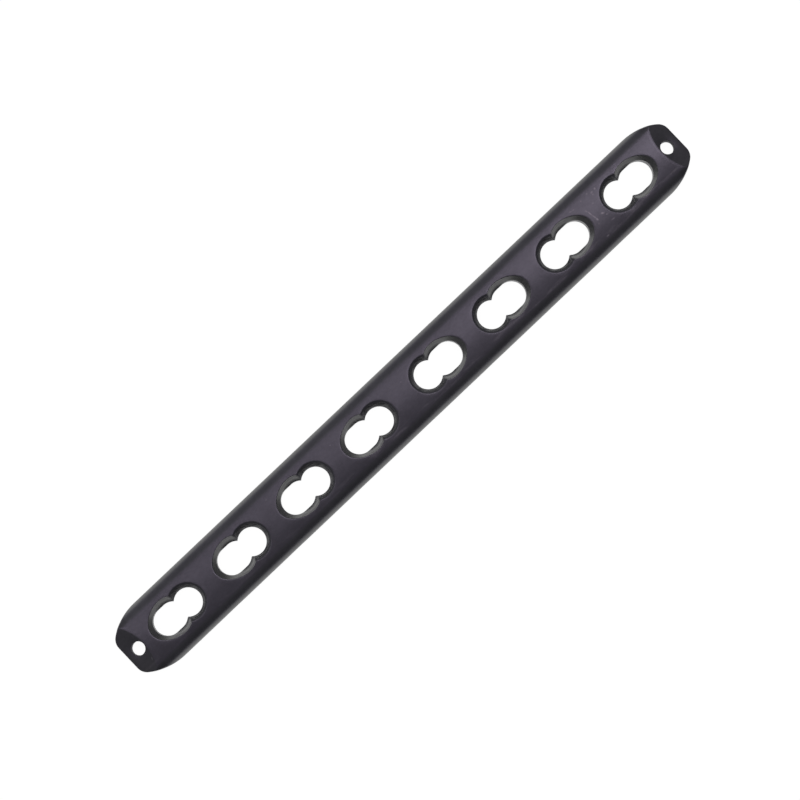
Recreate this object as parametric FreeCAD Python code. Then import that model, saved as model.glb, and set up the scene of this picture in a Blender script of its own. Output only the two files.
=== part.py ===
"""Straight locking compression plate for small bones, in millimetres.

X runs along the plate, Y across it and Z up through its crowned face. The origin is in the
middle of the underside. The plate is one solid: a bar with a crowned back and rounded
shoulders, bevelled noses, a relieved underside and a row of combination holes that is
mirrored about the middle.
"""

import FreeCAD, Part
import math
import os

from FreeCAD import Vector

# Hole row, measured along the plate from its middle
HOLES_PER_HALF = 4
HOLE_PITCH = 13.0
FIRST_LOCKING_CENTRE = 5.0
LAST_LOCKING_CENTRE_TO_TIP = 12.0

# Bar section
PLATE_WIDTH = 10.8
PLATE_THICKNESS = 3.3
CROWN_RADIUS = 24.0
SHOULDER_RADIUS = 2.0
UNDERSIDE_EDGE_BREAK = 0.3

# Noses
NOSE_RADIUS = 9.2
NOSE_LENGTH = 6.3
NOSE_CORNER_RADIUS = 1.9
FACET_EDGE_RADIUS = 0.2
BEVEL_LENGTH = 3.3
BEVEL_ANGLE = 17.0
WIRE_HOLE_DIAMETER = 2.15
WIRE_HOLE_TO_TIP = 2.1

# Combination hole: its round locking end lies towards the middle of the plate
THROAT_DIAMETER = 4.34
LOCKING_LAND_HEIGHT = 0.5
LOCKING_TAPER = 12.0
COUNTERSINK = 0.22

# Combination hole: its long compression end lies towards the tip
SLOT_CENTRE = 3.0
SLOT_TRAVEL = 1.09
SEAT_CENTRE = 3.05
SEAT_RADIUS = 3.05
GLIDE_ANGLE = 50.0

# Underside reliefs, one in each bridge between two holes
RELIEF_DEPTH = 0.8
RELIEF_TO_HOLE = 0.18

# How far a cutting body stands past the faces that it leaves through
OVERSHOOT = 1.0

# Largest distance at which two places count as the same
TOUCHING = 1e-6

ALONG = Vector(1, 0, 0)
ACROSS = Vector(0, 1, 0)
UP = Vector(0, 0, 1)
MIDDLE = Vector(0, 0, 0)

HALF_WIDTH = PLATE_WIDTH / 2
THROAT_RADIUS = THROAT_DIAMETER / 2
TOP_CLEARANCE = PLATE_THICKNESS + OVERSHOOT
HALF_LENGTH = (
    FIRST_LOCKING_CENTRE + (HOLES_PER_HALF - 1) * HOLE_PITCH + LAST_LOCKING_CENTRE_TO_TIP
)
NOSE_START = HALF_LENGTH - NOSE_LENGTH
# How far the slot reaches from its locking centre towards the tip
SLOT_REACH = SLOT_CENTRE + SLOT_TRAVEL + THROAT_RADIUS


def locking_centres():
    """Where the round ends of the holes lie along the +X half."""
    return [FIRST_LOCKING_CENTRE + i * HOLE_PITCH for i in range(HOLES_PER_HALF)]


def mirrored(shape):
    """The same shape on the other half of the plate."""
    return shape.mirror(MIDDLE, ALONG)


def on_both_halves(shapes):
    """The shapes and their mirror images."""
    return shapes + [mirrored(shape) for shape in shapes]


def nose_half_width(distance):
    """Half the plan width at a distance from the start of the nose arc."""
    return HALF_WIDTH - NOSE_RADIUS + math.sqrt(NOSE_RADIUS**2 - distance**2)


def nose_arc(side, end):
    """Plan arc from the side's tangent point to the flat tip, on one side of one end."""
    stations = (0.0, NOSE_LENGTH / 2, NOSE_LENGTH)
    points = [
        Vector(end * (NOSE_START + x), side * nose_half_width(x), 0) for x in stations
    ]
    return Part.Arc(*points).toShape()


def plan_outline():
    """Closed plan wire of the plate, with sharp corners at its flat tips."""
    edges = []
    for side in (1, -1):
        start = Vector(-NOSE_START, side * HALF_WIDTH, 0)
        edges.append(Part.makeLine(start, start + ALONG * 2 * NOSE_START))
        edges += [nose_arc(side, end) for end in (1, -1)]
    tip = ACROSS * nose_half_width(NOSE_LENGTH)
    for end in (1, -1):
        centre = ALONG * end * HALF_LENGTH
        edges.append(Part.makeLine(centre - tip, centre + tip))
    return Part.Wire(Part.__sortEdges__(edges))


def is_tip_corner(edge):
    """Whether an edge stands upright at a corner of a flat tip."""
    box = edge.BoundBox
    upright = box.XLength < TOUCHING and box.YLength < TOUCHING
    return upright and abs(box.XMin) > HALF_LENGTH - TOUCHING


def plan_prism():
    """The plan outline raised past the back, with rounded tip corners."""
    prism = Part.Face(plan_outline()).extrude(UP * TOP_CLEARANCE)
    corners = [edge for edge in prism.Edges if is_tip_corner(edge)]
    return prism.makeFillet(NOSE_CORNER_RADIUS, corners)


def section_bar():
    """Straight bar with the crowned back and its rounded shoulders, past both tips."""
    length = 2 * (HALF_LENGTH + OVERSHOOT)
    start = -HALF_LENGTH - OVERSHOOT
    block = Part.makeBox(length, PLATE_WIDTH, TOP_CLEARANCE, Vector(start, -HALF_WIDTH, 0))
    crown_axis = Vector(start, 0, PLATE_THICKNESS - CROWN_RADIUS)
    crowned = block.common(Part.makeCylinder(CROWN_RADIUS, length, crown_axis, ALONG))
    shoulders = [edge for edge in crowned.Edges if is_shoulder(edge)]
    return crowned.makeFillet(SHOULDER_RADIUS, shoulders)


def is_shoulder(edge):
    """Whether an edge runs along the bar where its back meets a side."""
    box = edge.BoundBox
    lengthwise = box.YLength < TOUCHING and box.ZLength < TOUCHING
    return lengthwise and box.ZMin > TOUCHING


def bevel():
    """Wedge above the sloping facet of the nose towards +X."""
    start = HALF_LENGTH - BEVEL_LENGTH
    end = HALF_LENGTH + OVERSHOOT
    drop = (end - start) * math.tan(math.radians(BEVEL_ANGLE))
    side = -HALF_WIDTH - OVERSHOOT
    corners = [
        Vector(start, side, PLATE_THICKNESS),
        Vector(end, side, PLATE_THICKNESS - drop),
        Vector(end, side, TOP_CLEARANCE),
        Vector(start, side, TOP_CLEARANCE),
    ]
    profile = Part.Face(Part.makePolygon(corners + corners[:1]))
    return profile.extrude(ACROSS * (PLATE_WIDTH + 2 * OVERSHOOT))


def is_nose_wall(face):
    """Whether a face of the bar stands upright round one of the noses."""
    box = face.BoundBox
    upright = box.ZMin < TOUCHING and box.ZLength > TOUCHING
    return upright and min(abs(box.XMin), abs(box.XMax)) > NOSE_START - TOUCHING


def is_on_facet(edge):
    """Whether an edge lies past the start of the sloping facet of a nose, above the underside."""
    box = edge.BoundBox
    nearest = min(abs(box.XMin), abs(box.XMax))
    return box.ZMin > TOUCHING and nearest > HALF_LENGTH - BEVEL_LENGTH


def facet_rims(blank):
    """Edges where the sloping facets meet the upright walls of the noses."""
    walls = [face for face in blank.Faces if is_nose_wall(face)]
    return [edge for face in walls for edge in face.Edges if is_on_facet(edge)]


def bar():
    """The plate before its holes: section, noses, bevels and rounded edges."""
    blank = section_bar().common(plan_prism()).cut(on_both_halves([bevel()]))
    softened = blank.makeFillet(FACET_EDGE_RADIUS, facet_rims(blank))
    underside = [edge for edge in softened.Edges if edge.BoundBox.ZMax < TOUCHING]
    return softened.makeFillet(UNDERSIDE_EDGE_BREAK, underside)


def locking_end():
    """Land and tapered wall of the round end, about its own centre."""
    taper = math.tan(math.radians(LOCKING_TAPER))
    mouth_radius = THROAT_RADIUS + (TOP_CLEARANCE - LOCKING_LAND_HEIGHT) * taper
    profile = [
        Vector(0, 0, -OVERSHOOT),
        Vector(THROAT_RADIUS, 0, -OVERSHOOT),
        Vector(THROAT_RADIUS, 0, LOCKING_LAND_HEIGHT),
        Vector(mouth_radius, 0, TOP_CLEARANCE),
        Vector(0, 0, TOP_CLEARANCE),
    ]
    face = Part.Face(Part.makePolygon(profile + profile[:1]))
    return face.revolve(MIDDLE, UP, 360)


def slot_throat():
    """Upright slot of the compression end, right through the plate."""
    start = SLOT_CENTRE
    end = SLOT_CENTRE + SLOT_TRAVEL
    height = TOP_CLEARANCE + OVERSHOOT
    base = -OVERSHOOT
    bore = Part.makeCylinder(THROAT_RADIUS, height, Vector(start, 0, base), UP)
    far_bore = Part.makeCylinder(THROAT_RADIUS, height, Vector(end, 0, base), UP)
    between = Part.makeBox(
        SLOT_TRAVEL, THROAT_DIAMETER, height, Vector(start, -THROAT_RADIUS, base)
    )
    return bore.fuse([far_bore, between]).removeSplitter()


def seat():
    """Path of the screw head's ball: it starts in its seat and glides up and out towards the tip."""
    glide = math.radians(GLIDE_ANGLE)
    direction = Vector(math.cos(glide), 0, math.sin(glide))
    normal = Vector(-math.sin(glide), 0, math.cos(glide))
    start = Vector(SEAT_CENTRE, 0, PLATE_THICKNESS)
    # The ball leaves the face once it has risen by its own radius over the glide's slope
    end = start + direction * (SEAT_RADIUS / math.tan(glide) + OVERSHOOT)
    corner = SEAT_RADIUS / math.sqrt(2)
    profile = [
        Part.Arc(
            start - direction * SEAT_RADIUS,
            start - direction * corner + normal * corner,
            start + normal * SEAT_RADIUS,
        ).toShape(),
        Part.makeLine(start + normal * SEAT_RADIUS, end + normal * SEAT_RADIUS),
        Part.makeLine(end + normal * SEAT_RADIUS, end),
        Part.makeLine(end, start - direction * SEAT_RADIUS),
    ]
    face = Part.Face(Part.Wire(Part.__sortEdges__(profile)))
    return face.revolve(start, direction, 360)


def along_row(shape):
    """Copies of a shape at every locking centre of both halves."""
    copies = []
    for centre in locking_centres():
        copy = shape.copy()
        copy.translate(ALONG * centre)
        copies.append(copy)
    return on_both_halves(copies)


def locking_rims(drilled):
    """Edges where the tapered walls of the locking ends reach the back."""
    walls = [face for face in drilled.Faces if isinstance(face.Surface, Part.Cone)]
    above_land = LOCKING_LAND_HEIGHT + TOUCHING
    return [edge for face in walls for edge in face.Edges if edge.BoundBox.ZMin > above_land]


def with_locking_ends(blank):
    """The bar with its locking ends cut and their rims countersunk along the crown."""
    drilled = blank.cut(along_row(locking_end()))
    return drilled.makeChamfer(COUNTERSINK, locking_rims(drilled))


def wire_hole():
    """Small round hole near the tip for a guide wire."""
    centre = Vector(HALF_LENGTH - WIRE_HOLE_TO_TIP, 0, -OVERSHOOT)
    return Part.makeCylinder(WIRE_HOLE_DIAMETER / 2, TOP_CLEARANCE + OVERSHOOT, centre, UP)


def bridges():
    """Underside stretches without a hole, as (start, end) along the +X half."""
    holes = [(centre - THROAT_RADIUS, centre + SLOT_REACH) for centre in locking_centres()]
    return [(before[1], after[0]) for before, after in zip(holes, holes[1:])]


def relief(start, end):
    """Shallow round channel across the underside of one bridge."""
    half_span = (end - start) / 2 - RELIEF_TO_HOLE
    radius = (half_span**2 + RELIEF_DEPTH**2) / (2 * RELIEF_DEPTH)
    base = Vector((start + end) / 2, -HALF_WIDTH - OVERSHOOT, RELIEF_DEPTH - radius)
    return Part.makeCylinder(radius, PLATE_WIDTH + 2 * OVERSHOOT, base, ACROSS)


def bone_plate():
    """The whole plate."""
    compression_ends = along_row(slot_throat().fuse(seat()))
    reliefs = [relief(start, end) for start, end in bridges()]
    inner_wall = FIRST_LOCKING_CENTRE - THROAT_RADIUS
    middle_relief = relief(-inner_wall, inner_wall)
    cuts = compression_ends + on_both_halves(reliefs + [wire_hole()]) + [middle_relief]
    return with_locking_ends(bar()).cut(cuts)


os.makedirs("parts", exist_ok=True)
plate = bone_plate()
plate.exportStep("parts/bone_plate.step")
print("solids", len(plate.Solids), "valid", plate.isValid(), "volume", round(plate.Volume, 2))
print("box", plate.BoundBox)
print("faces", len(plate.Faces))
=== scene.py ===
"""Studio scene of a straight bone plate for small bones, with combination screw holes.

The plate is modelled in millimetres about the middle of its underside, with X along it, Y across
it and Z up through its crowned back, and is scaled to metres when its mesh is made. One quarter
of it is laid patch by patch and mirrored, and the thread of its locking ends is cut last, so
that it turns the same way in every hole.
"""

import logging
import math
from collections.abc import Callable, Sequence
from dataclasses import dataclass, field
from enum import Enum
from functools import cached_property, partial, reduce
from typing import Any

import bmesh
import bpy
from mathutils import Matrix, Vector


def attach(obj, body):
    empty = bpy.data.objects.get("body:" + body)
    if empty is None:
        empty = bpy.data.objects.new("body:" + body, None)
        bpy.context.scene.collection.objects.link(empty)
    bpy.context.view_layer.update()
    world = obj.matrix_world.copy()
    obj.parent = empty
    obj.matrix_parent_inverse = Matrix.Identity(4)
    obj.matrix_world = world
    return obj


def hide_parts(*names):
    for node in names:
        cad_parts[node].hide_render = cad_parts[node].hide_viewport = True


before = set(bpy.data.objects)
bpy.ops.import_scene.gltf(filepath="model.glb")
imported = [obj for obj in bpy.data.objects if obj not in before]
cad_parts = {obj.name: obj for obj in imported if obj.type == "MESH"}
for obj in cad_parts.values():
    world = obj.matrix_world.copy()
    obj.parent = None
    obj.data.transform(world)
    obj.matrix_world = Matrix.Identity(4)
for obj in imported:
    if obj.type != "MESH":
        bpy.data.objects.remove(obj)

LOG = logging.getLogger("bone_plate_scene")
MILLIMETRE = 0.001
HALF_WIDTH = 5.4
THROAT_RADIUS = 2.17
HALVINGS = 48

Row = list[Vector]
Rows = list[Row]
Placed = list[tuple[Vector, float]]
Span = tuple[float, ...]
Tint = tuple[float, float, float, float]
Place = tuple[float, float, float]
WHITE: Tint = (1.0, 1.0, 1.0, 1.0)


class Half(Enum):
    """The two halves of the plate, which are mirror images."""

    RIGHT = 1
    LEFT = -1


class Flank(Enum):
    """The two sides of the plate's centre line, which are mirror images."""

    UPPER = 1
    LOWER = -1


def mix(first: float, second: float, share: float) -> float:
    """The value at a share of the way from the first to the second."""
    return first + (second - first) * share


def smooth(share: float) -> float:
    """A share from 0 to 1 with soft starts and ends, held inside that range."""
    held = min(max(share, 0.0), 1.0)
    return held * held * (3.0 - 2.0 * held)


def bisect(gap: Callable[[float], float], low: float, high: float) -> float:
    """Find where a rising or falling gap passes through zero.

    Args:
        gap: The function whose zero is wanted, with different signs at both ends.
        low: One end of the search.
        high: The other end of the search.

    Returns:
        The place of the zero.
    """
    rising = gap(high) > gap(low)
    for _ in range(HALVINGS):
        middle = (low + high) / 2
        if (gap(middle) > 0) == rising:
            high = middle
        else:
            low = middle
    return (low + high) / 2


def curved_corner(start: Vector, corner: Vector, end: Vector, steps: int) -> Row:
    """Round a corner with a parabola that is tangent to both of its legs.

    Args:
        start: Where the first leg ends.
        corner: The sharp corner.
        end: Where the second leg starts.
        steps: How many pieces the curve has.

    Returns:
        The points after the start, up to and including the end.
    """
    points = []
    for step in range(1, steps + 1):
        t = step / steps
        points.append((1 - t) ** 2 * start + 2 * t * (1 - t) * corner + t**2 * end)
    return points


@dataclass
class Surface:
    """Faces that are laid patch by patch and share their points where the patches meet.

    Args:
        weld: Points nearer to each other than this, in millimetres, are one point.
    """

    weld: float = 1e-4
    points: list[Vector] = field(default_factory=list)
    faces: list[tuple[int, ...]] = field(default_factory=list)
    index: dict[tuple[int, int, int], int] = field(default_factory=dict)

    def vertex(self, point: Vector) -> int:
        """Add a point if it is new.

        Args:
            point: The point.

        Returns:
            Its index.
        """
        key = tuple(round(value / self.weld) for value in point)
        if key not in self.index:
            self.index[key] = len(self.points)
            self.points.append(Vector(key) * self.weld)
        return self.index[key]

    def face(self, corners: Sequence[int]) -> None:
        """Add a face, leaving out corners that fall together.

        Args:
            corners: Indices of its corners, in order.
        """
        kept = [corner for i, corner in enumerate(corners) if corner != corners[i - 1]]
        if len(kept) > 2:
            self.faces.append(tuple(kept))

    def grid(self, rows: Rows) -> None:
        """Lay quads between rows of points that have the same length.

        Args:
            rows: The rows, in order.
        """
        indices = [[self.vertex(point) for point in row] for row in rows]
        for lower, upper in zip(indices, indices[1:]):
            for i in range(len(lower) - 1):
                self.face((lower[i], lower[i + 1], upper[i + 1], upper[i]))

    def stitch(self, first: Placed, second: Placed) -> None:
        """Lay triangles between two rows whose lengths may differ.

        Args:
            first: The first row's points, each with a number that rises along the row.
            second: The second row's points, with numbers on the same scale.
        """
        one = [self.vertex(point) for point, _ in first]
        two = [self.vertex(point) for point, _ in second]
        i = j = 0
        while i < len(one) - 1 or j < len(two) - 1:
            second_is_done = j == len(two) - 1
            if second_is_done or (i < len(one) - 1 and first[i + 1][1] <= second[j + 1][1]):
                self.face((one[i], one[i + 1], two[j]))
                i += 1
            else:
                self.face((one[i], two[j + 1], two[j]))
                j += 1

    def mirrored(self) -> "Surface":
        """Mirror the quarter with positive X and Y.

        Returns:
            The whole plate's surface.
        """
        whole = Surface(self.weld)
        for half in Half:
            for flank in Flank:
                copies = [
                    whole.vertex(Vector((p.x * half.value, p.y * flank.value, p.z)))
                    for p in self.points
                ]
                for corners in self.faces:
                    whole.face([copies[corner] for corner in corners])
        return whole


@dataclass(frozen=True)
class Station:
    """A place on the plan outline: its point, its outward normal and its distance along."""

    point: Vector
    normal: Vector
    along: float

    def inside(self, depth: float) -> Vector:
        """The plan point at a depth inside the outline."""
        return self.point - self.normal * depth


@dataclass(frozen=True)
class Outline:
    """Plan outline of one quarter, from the middle of the long side round to the tip."""

    half_length: float = 56.0
    half_width: float = HALF_WIDTH
    nose_radius: float = 9.2
    nose_length: float = 6.3
    corner_radius: float = 1.9

    @property
    def nose_start(self) -> float:
        """Where the nose arc leaves the straight side."""
        return self.half_length - self.nose_length

    @property
    def corner_centre(self) -> Vector:
        """Find the centre of the small round at the tip's corner.

        Returns:
            The centre.
        """
        x = self.half_length - self.corner_radius
        reach = self.nose_radius - self.corner_radius
        drop = self.nose_radius - self.half_width
        return Vector((x, math.sqrt(reach**2 - (x - self.nose_start) ** 2) - drop, 0))

    @property
    def arc_turn(self) -> float:
        """Angle through which the nose arc runs before the corner takes over."""
        run = self.corner_centre.x - self.nose_start
        return math.asin(run / (self.nose_radius - self.corner_radius))

    @property
    def arc_end(self) -> float:
        """Distance along the outline to the end of the nose arc."""
        return self.nose_start + self.nose_radius * self.arc_turn

    @property
    def corner_end(self) -> float:
        """Distance along the outline to the end of the corner's round."""
        return self.arc_end + self.corner_radius * (math.pi / 2 - self.arc_turn)

    @property
    def length(self) -> float:
        """Distance along the outline to the middle of the tip."""
        return self.corner_end + self.corner_centre.y

    def at(self, along: float) -> Station:
        """Find a station of the outline.

        Args:
            along: Distance along the outline from the middle of the side.

        Returns:
            The station there.
        """
        if along <= self.nose_start:
            return Station(Vector((along, self.half_width, 0)), Vector((0, 1, 0)), along)
        if along <= self.arc_end:
            turn = (along - self.nose_start) / self.nose_radius
            centre = Vector((self.nose_start, self.half_width - self.nose_radius, 0))
            normal = Vector((math.sin(turn), math.cos(turn), 0))
            return Station(centre + normal * self.nose_radius, normal, along)
        if along <= self.corner_end:
            turn = self.arc_turn + (along - self.arc_end) / self.corner_radius
            normal = Vector((math.sin(turn), math.cos(turn), 0))
            return Station(self.corner_centre + normal * self.corner_radius, normal, along)
        y = max(self.length - along, 0.0)
        return Station(Vector((self.half_length, y, 0)), Vector((1, 0, 0)), along)

    def past(self, start: float, counts: Sequence[int]) -> list[Station]:
        """Spread stations from a place on the nose arc to the middle of the tip.

        Args:
            start: Distance along the outline of the first station.
            counts: Steps on the rest of the nose arc, on the corner's round and on the tip.

        Returns:
            The stations in order.
        """
        ends = (start, self.arc_end, self.corner_end, self.length)
        places = [start]
        for low, high, count in zip(ends, ends[1:], counts):
            places += [mix(low, high, (i + 1) / count) for i in range(count)]
        return [self.at(place) for place in places]


@dataclass(frozen=True)
class Section:
    """Upper side of the plate: crowned back, rounded shoulders and bevelled noses."""

    thickness: float = 3.3
    half_width: float = HALF_WIDTH
    crown_radius: float = 24.0
    shoulder_radius: float = 2.0
    bevel_start: float = 52.7
    bevel_angle: float = 17.0

    @property
    def shoulder_centre(self) -> tuple[float, float]:
        """Find the centre of the shoulder's round.

        Returns:
            Its place across and its height.
        """
        y = self.half_width - self.shoulder_radius
        reach = self.crown_radius - self.shoulder_radius
        return y, self.thickness - self.crown_radius + math.sqrt(reach**2 - y**2)

    @property
    def crown_reach(self) -> float:
        """Half width of the crown, up to where the shoulders start."""
        y = self.shoulder_centre[0]
        return y * self.crown_radius / (self.crown_radius - self.shoulder_radius)

    @property
    def bevel_slope(self) -> float:
        """How fast the nose's facet falls towards the tip."""
        return math.tan(math.radians(self.bevel_angle))

    def back(self, y: float) -> float:
        """Height of the back at a place across the plate, leaving the bevels out.

        Args:
            y: Distance from the centre line.

        Returns:
            The height.
        """
        if y <= self.crown_reach:
            return self.thickness - self.crown_radius + math.sqrt(self.crown_radius**2 - y**2)
        centre_y, centre_z = self.shoulder_centre
        return centre_z + math.sqrt(max(self.shoulder_radius**2 - (y - centre_y) ** 2, 0.0))

    def facet(self, x: float) -> float:
        """Height of the nose's facet at a place along the plate."""
        return self.thickness - (x - self.bevel_start) * self.bevel_slope

    def crease(self, y: float) -> float:
        """Place along the plate where the facet meets the back."""
        return self.bevel_start + (self.thickness - self.back(y)) / self.bevel_slope

    def height(self, x: float, y: float) -> float:
        """Height of the upper side at a plan place."""
        return min(self.back(y), self.facet(x))


@dataclass(frozen=True)
class LockingEnd:
    """Round end of a combination hole: land, threaded taper and countersunk rim."""

    throat_radius: float = THROAT_RADIUS
    land_height: float = 0.5
    taper: float = 12.0
    countersink: float = 0.22
    thread_pitch: float = 0.55
    thread_depth: float = 0.18
    thread_top: float = 2.9
    lower_runout: float = 0.2
    upper_runout: float = 0.15

    def radius(self, z: float) -> float:
        """Radius of the wall at a height, with its thread left out."""
        rise = max(z - self.land_height, 0.0)
        return self.throat_radius + rise * math.tan(math.radians(self.taper))

    def groove(self, angle: float, z: float) -> float:
        """Depth of the pointed thread behind its crests.

        Args:
            angle: Angle about the end's axis.
            z: Height.

        Returns:
            The depth.
        """
        turn = (z / self.thread_pitch - angle / math.tau) % 1.0
        flank = 1 - abs(2 * turn - 1)
        start = smooth((z - self.land_height) / self.lower_runout)
        end = smooth((self.thread_top - z) / self.upper_runout)
        return self.thread_depth * flank * (start * end)


@dataclass(frozen=True)
class CompressionEnd:
    """Long end of a combination hole: a slot under a ball seat that glides up and out."""

    throat_radius: float = THROAT_RADIUS
    slot_centre: float = 3.0
    slot_travel: float = 1.09
    seat_centre: float = 3.05
    seat_radius: float = 3.05
    glide_angle: float = 50.0

    def seat_height(self, u: float, y: float, top: float) -> float:
        """Height of the seat's surface.

        Args:
            u: Distance from the locking centre towards the tip.
            y: Distance from the centre line.
            top: Height of the ball's centre, which lies in the plate's top plane.

        Returns:
            The height of the ball's path above that plan place.
        """
        glide = math.radians(self.glide_angle)
        across = math.sqrt(max(self.seat_radius**2 - y**2, 0.0))
        run = (u - self.seat_centre - across * math.sin(glide)) / math.cos(glide)
        if run > 0:
            return top + run * math.sin(glide) - across * math.cos(glide)
        depth = self.seat_radius**2 - y**2 - (u - self.seat_centre) ** 2
        return top - math.sqrt(max(depth, 0.0))

    def throat(self, start: float, share: float) -> Vector:
        """Place on the slot's plan contour.

        Args:
            start: Angle about the slot's first centre at which the contour starts.
            share: Share of the way from there to the slot's outer end.

        Returns:
            The plan point, measured from the locking centre.
        """
        quarter = math.pi / 2
        radius = self.throat_radius
        first = (start - quarter) * radius
        run = share * (first + self.slot_travel + quarter * radius)
        if run < first:
            angle = start - run / radius
            return Vector(
                (self.slot_centre + radius * math.cos(angle), radius * math.sin(angle), 0)
            )
        if run < first + self.slot_travel:
            return Vector((self.slot_centre + run - first, radius, 0))
        angle = quarter - (run - first - self.slot_travel) / radius
        centre = self.slot_centre + self.slot_travel
        return Vector((centre + radius * math.cos(angle), radius * max(math.sin(angle), 0.0), 0))


@dataclass(frozen=True)
class Steps:
    """How finely the patches are divided.

    Args:
        locking_columns: Columns round the upper half of a locking end.
        slot_columns: Columns round the upper half of a compression end.
        end_columns: Those of them that end on each short end of a hole's stretch of back.
        pad_end_columns: Those of them that end on each short end of a pad.
        lower_wall: Rows of a hole's wall up to the seat's edge.
        upper_wall: Rows from there to the countersink.
        mouth: Rows of the countersink.
        lip: Rows of a hole's rounded rims, and of the side's broken lower edge.
        back: Rows of the back outside a hole.
        pad: Rows of the pad outside a hole.
        glide: Samples of the seat between its edge and its rim.
        nose: Columns round the facet, on the nose arc, the corner and the tip.
        nose_underside: The same underneath, where the arc starts further back.
    """

    locking_columns: int = 36
    slot_columns: int = 42
    end_columns: int = 11
    pad_end_columns: int = 18
    lower_wall: int = 12
    upper_wall: int = 24
    mouth: int = 3
    lip: int = 4
    back: int = 6
    pad: int = 3
    glide: int = 60
    nose: tuple[int, int, int] = (10, 6, 6)
    nose_underside: tuple[int, int, int] = (24, 6, 6)


@dataclass(frozen=True)
class CombinationHole:
    """One combination hole with the stretch of plate round it, on the upper right quarter.

    Args:
        section: Upper side of the plate.
        locking: The hole's round end.
        compression: The hole's long end.
        steps: How finely the hole is divided.
        edge_break: Size of the broken edge underneath.
        rim_break: Size of the rim's round in the wall, and over the back at most places.
        end_lip: Its larger size over the back at the outer end.
        lip_start: Distance from the locking centre at which it starts to grow.
        lip_run: Distance over which it grows.
        roll_reach: How far from the rim the back starts to roll down.
        roll_depth: How far down it rolls at most.
        break_share: Largest share of the countersink's last row that the round takes.
        turn_fade: Power at which the ridge's lean fades out round the locking end.
        rim_fade: Power at which it fades out round the compression end.
        crowding: Power that crowds the back's rows towards the rim.
    """

    section: Section
    locking: LockingEnd
    compression: CompressionEnd
    steps: Steps
    edge_break: float = 0.08
    rim_break: float = 0.08
    end_lip: float = 0.2
    lip_start: float = 6.0
    lip_run: float = 1.0
    roll_reach: float = 0.6
    roll_depth: float = 0.018
    break_share: float = 0.9
    turn_fade: int = 3
    rim_fade: int = 5
    crowding: float = 1.5

    def seat(self, u: float, y: float) -> float:
        """Height of the seat at a plan place."""
        return self.compression.seat_height(u, y, self.section.thickness)

    def ridge_below(self, z: float) -> Vector:
        """Where the locking wall meets the slot's upright wall.

        Args:
            z: Height.

        Returns:
            The point, measured from the locking centre.
        """
        centre = self.compression.slot_centre
        radius = self.locking.radius(z)
        u = (radius**2 - self.compression.throat_radius**2 + centre**2) / (2 * centre)
        return Vector((u, math.sqrt(radius**2 - u**2), z))

    def ridge_above(self, z: float) -> Vector:
        """Where the locking wall meets the ball seat.

        Args:
            z: Height.

        Returns:
            The point, measured from the locking centre.
        """
        centre = self.compression.seat_centre
        radius = self.locking.radius(z)
        level = self.compression.seat_radius**2 - (self.section.thickness - z) ** 2
        u = (radius**2 - level + centre**2) / (2 * centre)
        return Vector((u, math.sqrt(radius**2 - u**2), z))

    @cached_property
    def seat_edge(self) -> float:
        """Find where the ridge passes from the slot's wall to the seat.

        Returns:
            The height.
        """
        return bisect(
            lambda z: self.seat(self.ridge_below(z).x, self.ridge_below(z).y) - z,
            self.locking.land_height,
            self.section.thickness / 2,
        )

    def mouth(self, angle: float, share: float) -> Vector:
        """Point of the countersink round the locking end.

        Args:
            angle: Angle about the locking centre.
            share: 0 at its lower edge on the tapered wall and 1 at its upper edge on the back.

        Returns:
            The point, measured from the locking centre.
        """
        slope, size = math.sin(angle), self.locking.countersink
        rim = bisect(
            lambda z: self.section.back(self.locking.radius(z) * abs(slope)) - z,
            self.locking.thread_top,
            self.section.thickness + size,
        )
        low = rim - size * math.cos(math.radians(self.locking.taper))
        inner, outer = self.locking.radius(low), self.locking.radius(rim) + size
        radius = mix(inner, outer, share)
        height = mix(low, self.section.back(outer * abs(slope)), share)
        return Vector((radius * math.cos(angle), radius * abs(slope), height))

    def mouth_ridge(self, share: float) -> Vector:
        """Where the countersink meets the ball seat.

        Args:
            share: 0 at the countersink's lower edge and 1 at its upper edge.

        Returns:
            The point, measured from the locking centre.
        """

        def gap(angle: float) -> float:
            """How far the seat lies above the countersink at an angle."""
            point = self.mouth(angle, share)
            return self.seat(point.x, point.y) - point.z

        angle = bisect(gap, math.pi / 6, math.pi / 2)
        return self.mouth(angle, share)

    @cached_property
    def notch(self) -> Vector:
        """Where the ridge reaches the back, between the two round rims."""
        return self.mouth_ridge(1.0)

    def ridge(self, z: float) -> Vector:
        """Point of the ridge between both ends at a height below the countersink."""
        return self.ridge_below(z) if z < self.seat_edge else self.ridge_above(z)

    @cached_property
    def foot_angle(self) -> float:
        """Angle about the locking centre at which the ridge starts underneath."""
        foot = self.ridge(0.0)
        return math.atan2(foot.y, foot.x)

    @cached_property
    def mouth_ridges(self) -> list[Vector]:
        """The ridge's points up the countersink, from its lower to its upper edge."""
        steps = self.steps.mouth
        return [self.mouth_ridge(i / steps) for i in range(steps + 1)]

    def turned(self, share: float, ridge: Vector) -> float:
        """Angle of a locking column, at a share of the way from a point of the ridge."""
        shift = math.atan2(ridge.y, ridge.x) - self.foot_angle
        return mix(self.foot_angle, math.pi, share) + shift * (1 - share) ** self.turn_fade

    def lower_heights(self, top: float) -> list[float]:
        """Heights of the wall's rings from the underside's edge break to the seat's edge."""
        steps = self.steps.lower_wall
        return [mix(self.edge_break, top, i / steps) for i in range(steps + 1)]

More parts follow.
